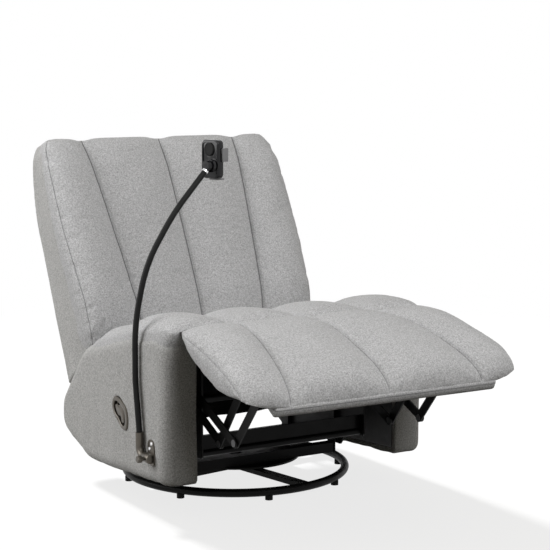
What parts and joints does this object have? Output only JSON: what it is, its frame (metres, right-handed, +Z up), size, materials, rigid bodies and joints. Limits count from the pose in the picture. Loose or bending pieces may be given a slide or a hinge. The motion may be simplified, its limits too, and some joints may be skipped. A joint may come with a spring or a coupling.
{
  "type": "swivel glider recliner",
  "caption": "Armless swivel glider recliner on a floor ring, with channel-quilted cushions, a linkage footrest, a reclining back and a gooseneck phone holder.",
  "frame": {"origin": "on the floor, on the axis of the swivel", "axes": "+Z up, +Y towards the back, so the sitter faces -Y; the phone holder is on the -X side"},
  "size_m": [0.832, 1.2235, 0.924],
  "materials": {
    "black_steel": "satin black",
    "bare_steel": "zinc",
    "pad_rubber": "matt",
    "frame_wood": "raw plywood",
    "black_board": "plywood stained black",
    "webbing": "woven strap",
    "foam": "open-cell foam",
    "grey_fabric": "light grey weave",
    "panel_fabric": "light grey weave",
    "bronze_trim": "satin bronze",
    "black_plastic": "matt black",
    "arm_black": "satin black",
    "gloss_black": "gloss black",
    "bright_metal": "polished",
    "jaw_grey": "matt grey"
  },
  "bodies": {
    "base": {"base_ring": "black_steel", "base_spokes": "black_steel", "base_hub": "black_steel", "floor_pads": "pad_rubber", "bearing_lower_race": "bare_steel", "bearing_balls": "bare_steel"},
    "swivel": {"bearing_upper_race": "bare_steel", "swivel_bolt": "bare_steel", "turntable_plate": "black_steel", "glide_base_rails": "black_steel", "glide_hangers": "black_steel", "hanger_rivets": "bare_steel"},
    "front_arms": {"front_swing_arms": "black_steel"},
    "rear_arms": {"rear_swing_arms": "black_steel"},
    "seat": {"mechanism_plate_left": "black_steel", "mechanism_plate_right": "black_steel", "mechanism_rivets": "bare_steel", "front_cross_rail": "black_steel", "rear_cross_tube": "black_steel", "panel_brackets": "black_steel", "seat_rails": "frame_wood", "panel_spacers": "frame_wood", "seat_webbing": "webbing", "seat_foam": "foam", "seat_cushion": "grey_fabric", "crease_fabric": "grey_fabric", "rear_flap": "grey_fabric", "side_boards": "black_board", "side_panel_left": "panel_fabric", "side_panel_right": "panel_fabric", "pull_bezel": "bronze_trim", "pull_cup": "black_plastic", "release_cable": "black_plastic", "holder_bracket": "arm_black", "holder_screws": "bright_metal"},
    "drive": {"drive_tube": "black_steel", "drive_links": "black_steel", "drive_rivets": "bare_steel"},
    "lift": {"lift_links": "black_steel"},
    "idler": {"idler_links": "black_steel", "idler_rivets": "bare_steel"},
    "carry": {"carry_links": "black_steel"},
    "footrest": {"footrest_brackets": "black_steel", "footrest_rivets": "bare_steel", "footrest_board": "frame_wood", "footrest_pad": "grey_fabric"},
    "back": {"back_brackets": "black_steel", "back_posts": "frame_wood", "back_rails": "frame_wood", "back_cover": "panel_fabric", "back_cushion": "grey_fabric"},
    "lever": {"pull_lever": "bronze_trim"},
    "arm": {"holder_elbow": "bronze_trim", "gooseneck": "arm_black", "ball_socket": "gloss_black"},
    "collar": {"collar_nut": "gloss_black"},
    "clamp": {"clamp_body": "gloss_black"},
    "jaw_left": {"clamp_jaw_left": "jaw_grey"},
    "jaw_right": {"clamp_jaw_right": "jaw_grey"},
    "thumb": {"thumb_screw": "bronze_trim"}
  },
  "joints": [
    {"name": "swivel_turn", "type": "hinge", "parent": "base", "child": "swivel", "pos_m": [0, 0, 0.041], "axis": [0, 0, 1], "continuous": true},
    {"name": "glide_front", "type": "hinge", "parent": "swivel", "child": "front_arms", "pos_m": [0, -0.12, 0.205], "axis": [1, 0, 0], "range_deg": [-28, 28]},
    {"name": "glide_rear", "type": "hinge", "parent": "swivel", "child": "rear_arms", "pos_m": [0, 0.12, 0.205], "axis": [1, 0, 0], "range_deg": [-28, 28]},
    {"name": "glide_seat", "type": "hinge", "parent": "front_arms", "child": "seat", "pos_m": [0, -0.12, 0.095], "axis": [1, 0, 0], "range_deg": [-28, 28]},
    {"name": "footrest_fold", "type": "hinge", "parent": "seat", "child": "footrest", "pos_m": [0, -0.346, 0.46], "axis": [1, 0, 0], "range_deg": [0, 68], "deforming": ["crease_fabric"]},
    {"name": "drive_turn", "type": "hinge", "parent": "seat", "child": "drive", "pos_m": [0, -0.205, 0.265], "axis": [1, 0, 0], "range_deg": [0, 68]},
    {"name": "lift_turn", "type": "hinge", "parent": "drive", "child": "lift", "pos_m": [0, -0.36702, 0.18552], "axis": [1, 0, 0], "range_deg": [-68, 0]},
    {"name": "idler_turn", "type": "hinge", "parent": "seat", "child": "idler", "pos_m": [0, -0.232, 0.322], "axis": [1, 0, 0], "range_deg": [0, 68]},
    {"name": "carry_turn", "type": "hinge", "parent": "idler", "child": "carry", "pos_m": [0, -0.47283, 0.21068], "axis": [1, 0, 0], "range_deg": [-68, 0]},
    {"name": "back_recline", "type": "hinge", "parent": "seat", "child": "back", "pos_m": [0, 0.23, 0.215], "axis": [-1, 0, 0], "range_deg": [0, 33], "deforming": ["rear_flap"]},
    {"name": "lever_pull", "type": "hinge", "parent": "seat", "child": "lever", "pos_m": [-0.391, -0.07716, 0.25258], "axis": [0, 0.7193, -0.6947], "range_deg": [0, 30], "stiffness_Nm_per_rad": 0.8, "springref_deg": -5.73},
    {"name": "arm_swing", "type": "hinge", "parent": "seat", "child": "arm", "pos_m": [-0.407, -0.269, 0.148], "axis": [0, 1, 0], "range_deg": [-75, 0]},
    {"name": "clamp_roll", "type": "hinge", "parent": "arm", "child": "collar", "pos_m": [-0.193, -0.206, 0.86], "axis": [0.972, 0.2351, 0], "range_deg": [-45, 45]},
    {"name": "clamp_tilt", "type": "hinge", "parent": "collar", "child": "clamp", "pos_m": [-0.193, -0.206, 0.86], "axis": [0.2351, -0.972, 0], "range_deg": [-18, 18]},
    {"name": "jaw_left_slide", "type": "slide", "parent": "clamp", "child": "jaw_left", "axis": [-0.2351, 0.972, 0], "range_m": [0, 0.025], "stiffness_N_per_m": 100, "springref_m": -0.01},
    {"name": "jaw_right_slide", "type": "slide", "parent": "clamp", "child": "jaw_right", "axis": [0.2351, -0.972, 0], "range_m": [0, 0.025]},
    {"name": "thumb_turn", "type": "hinge", "parent": "seat", "child": "thumb", "pos_m": [-0.425, -0.269, 0.148], "axis": [1, 0, 0], "continuous": true}
  ],
  "couplings": [
    {"joint": "glide_front", "follows": "glide_seat", "ratio": -1},
    {"joint": "glide_rear", "follows": "glide_seat", "ratio": -1},
    {"joint": "drive_turn", "follows": "footrest_fold", "ratio": 1},
    {"joint": "lift_turn", "follows": "footrest_fold", "ratio": -1},
    {"joint": "idler_turn", "follows": "footrest_fold", "ratio": 1},
    {"joint": "carry_turn", "follows": "footrest_fold", "ratio": -1},
    {"joint": "jaw_right_slide", "follows": "jaw_left_slide", "ratio": 1}
  ]
}
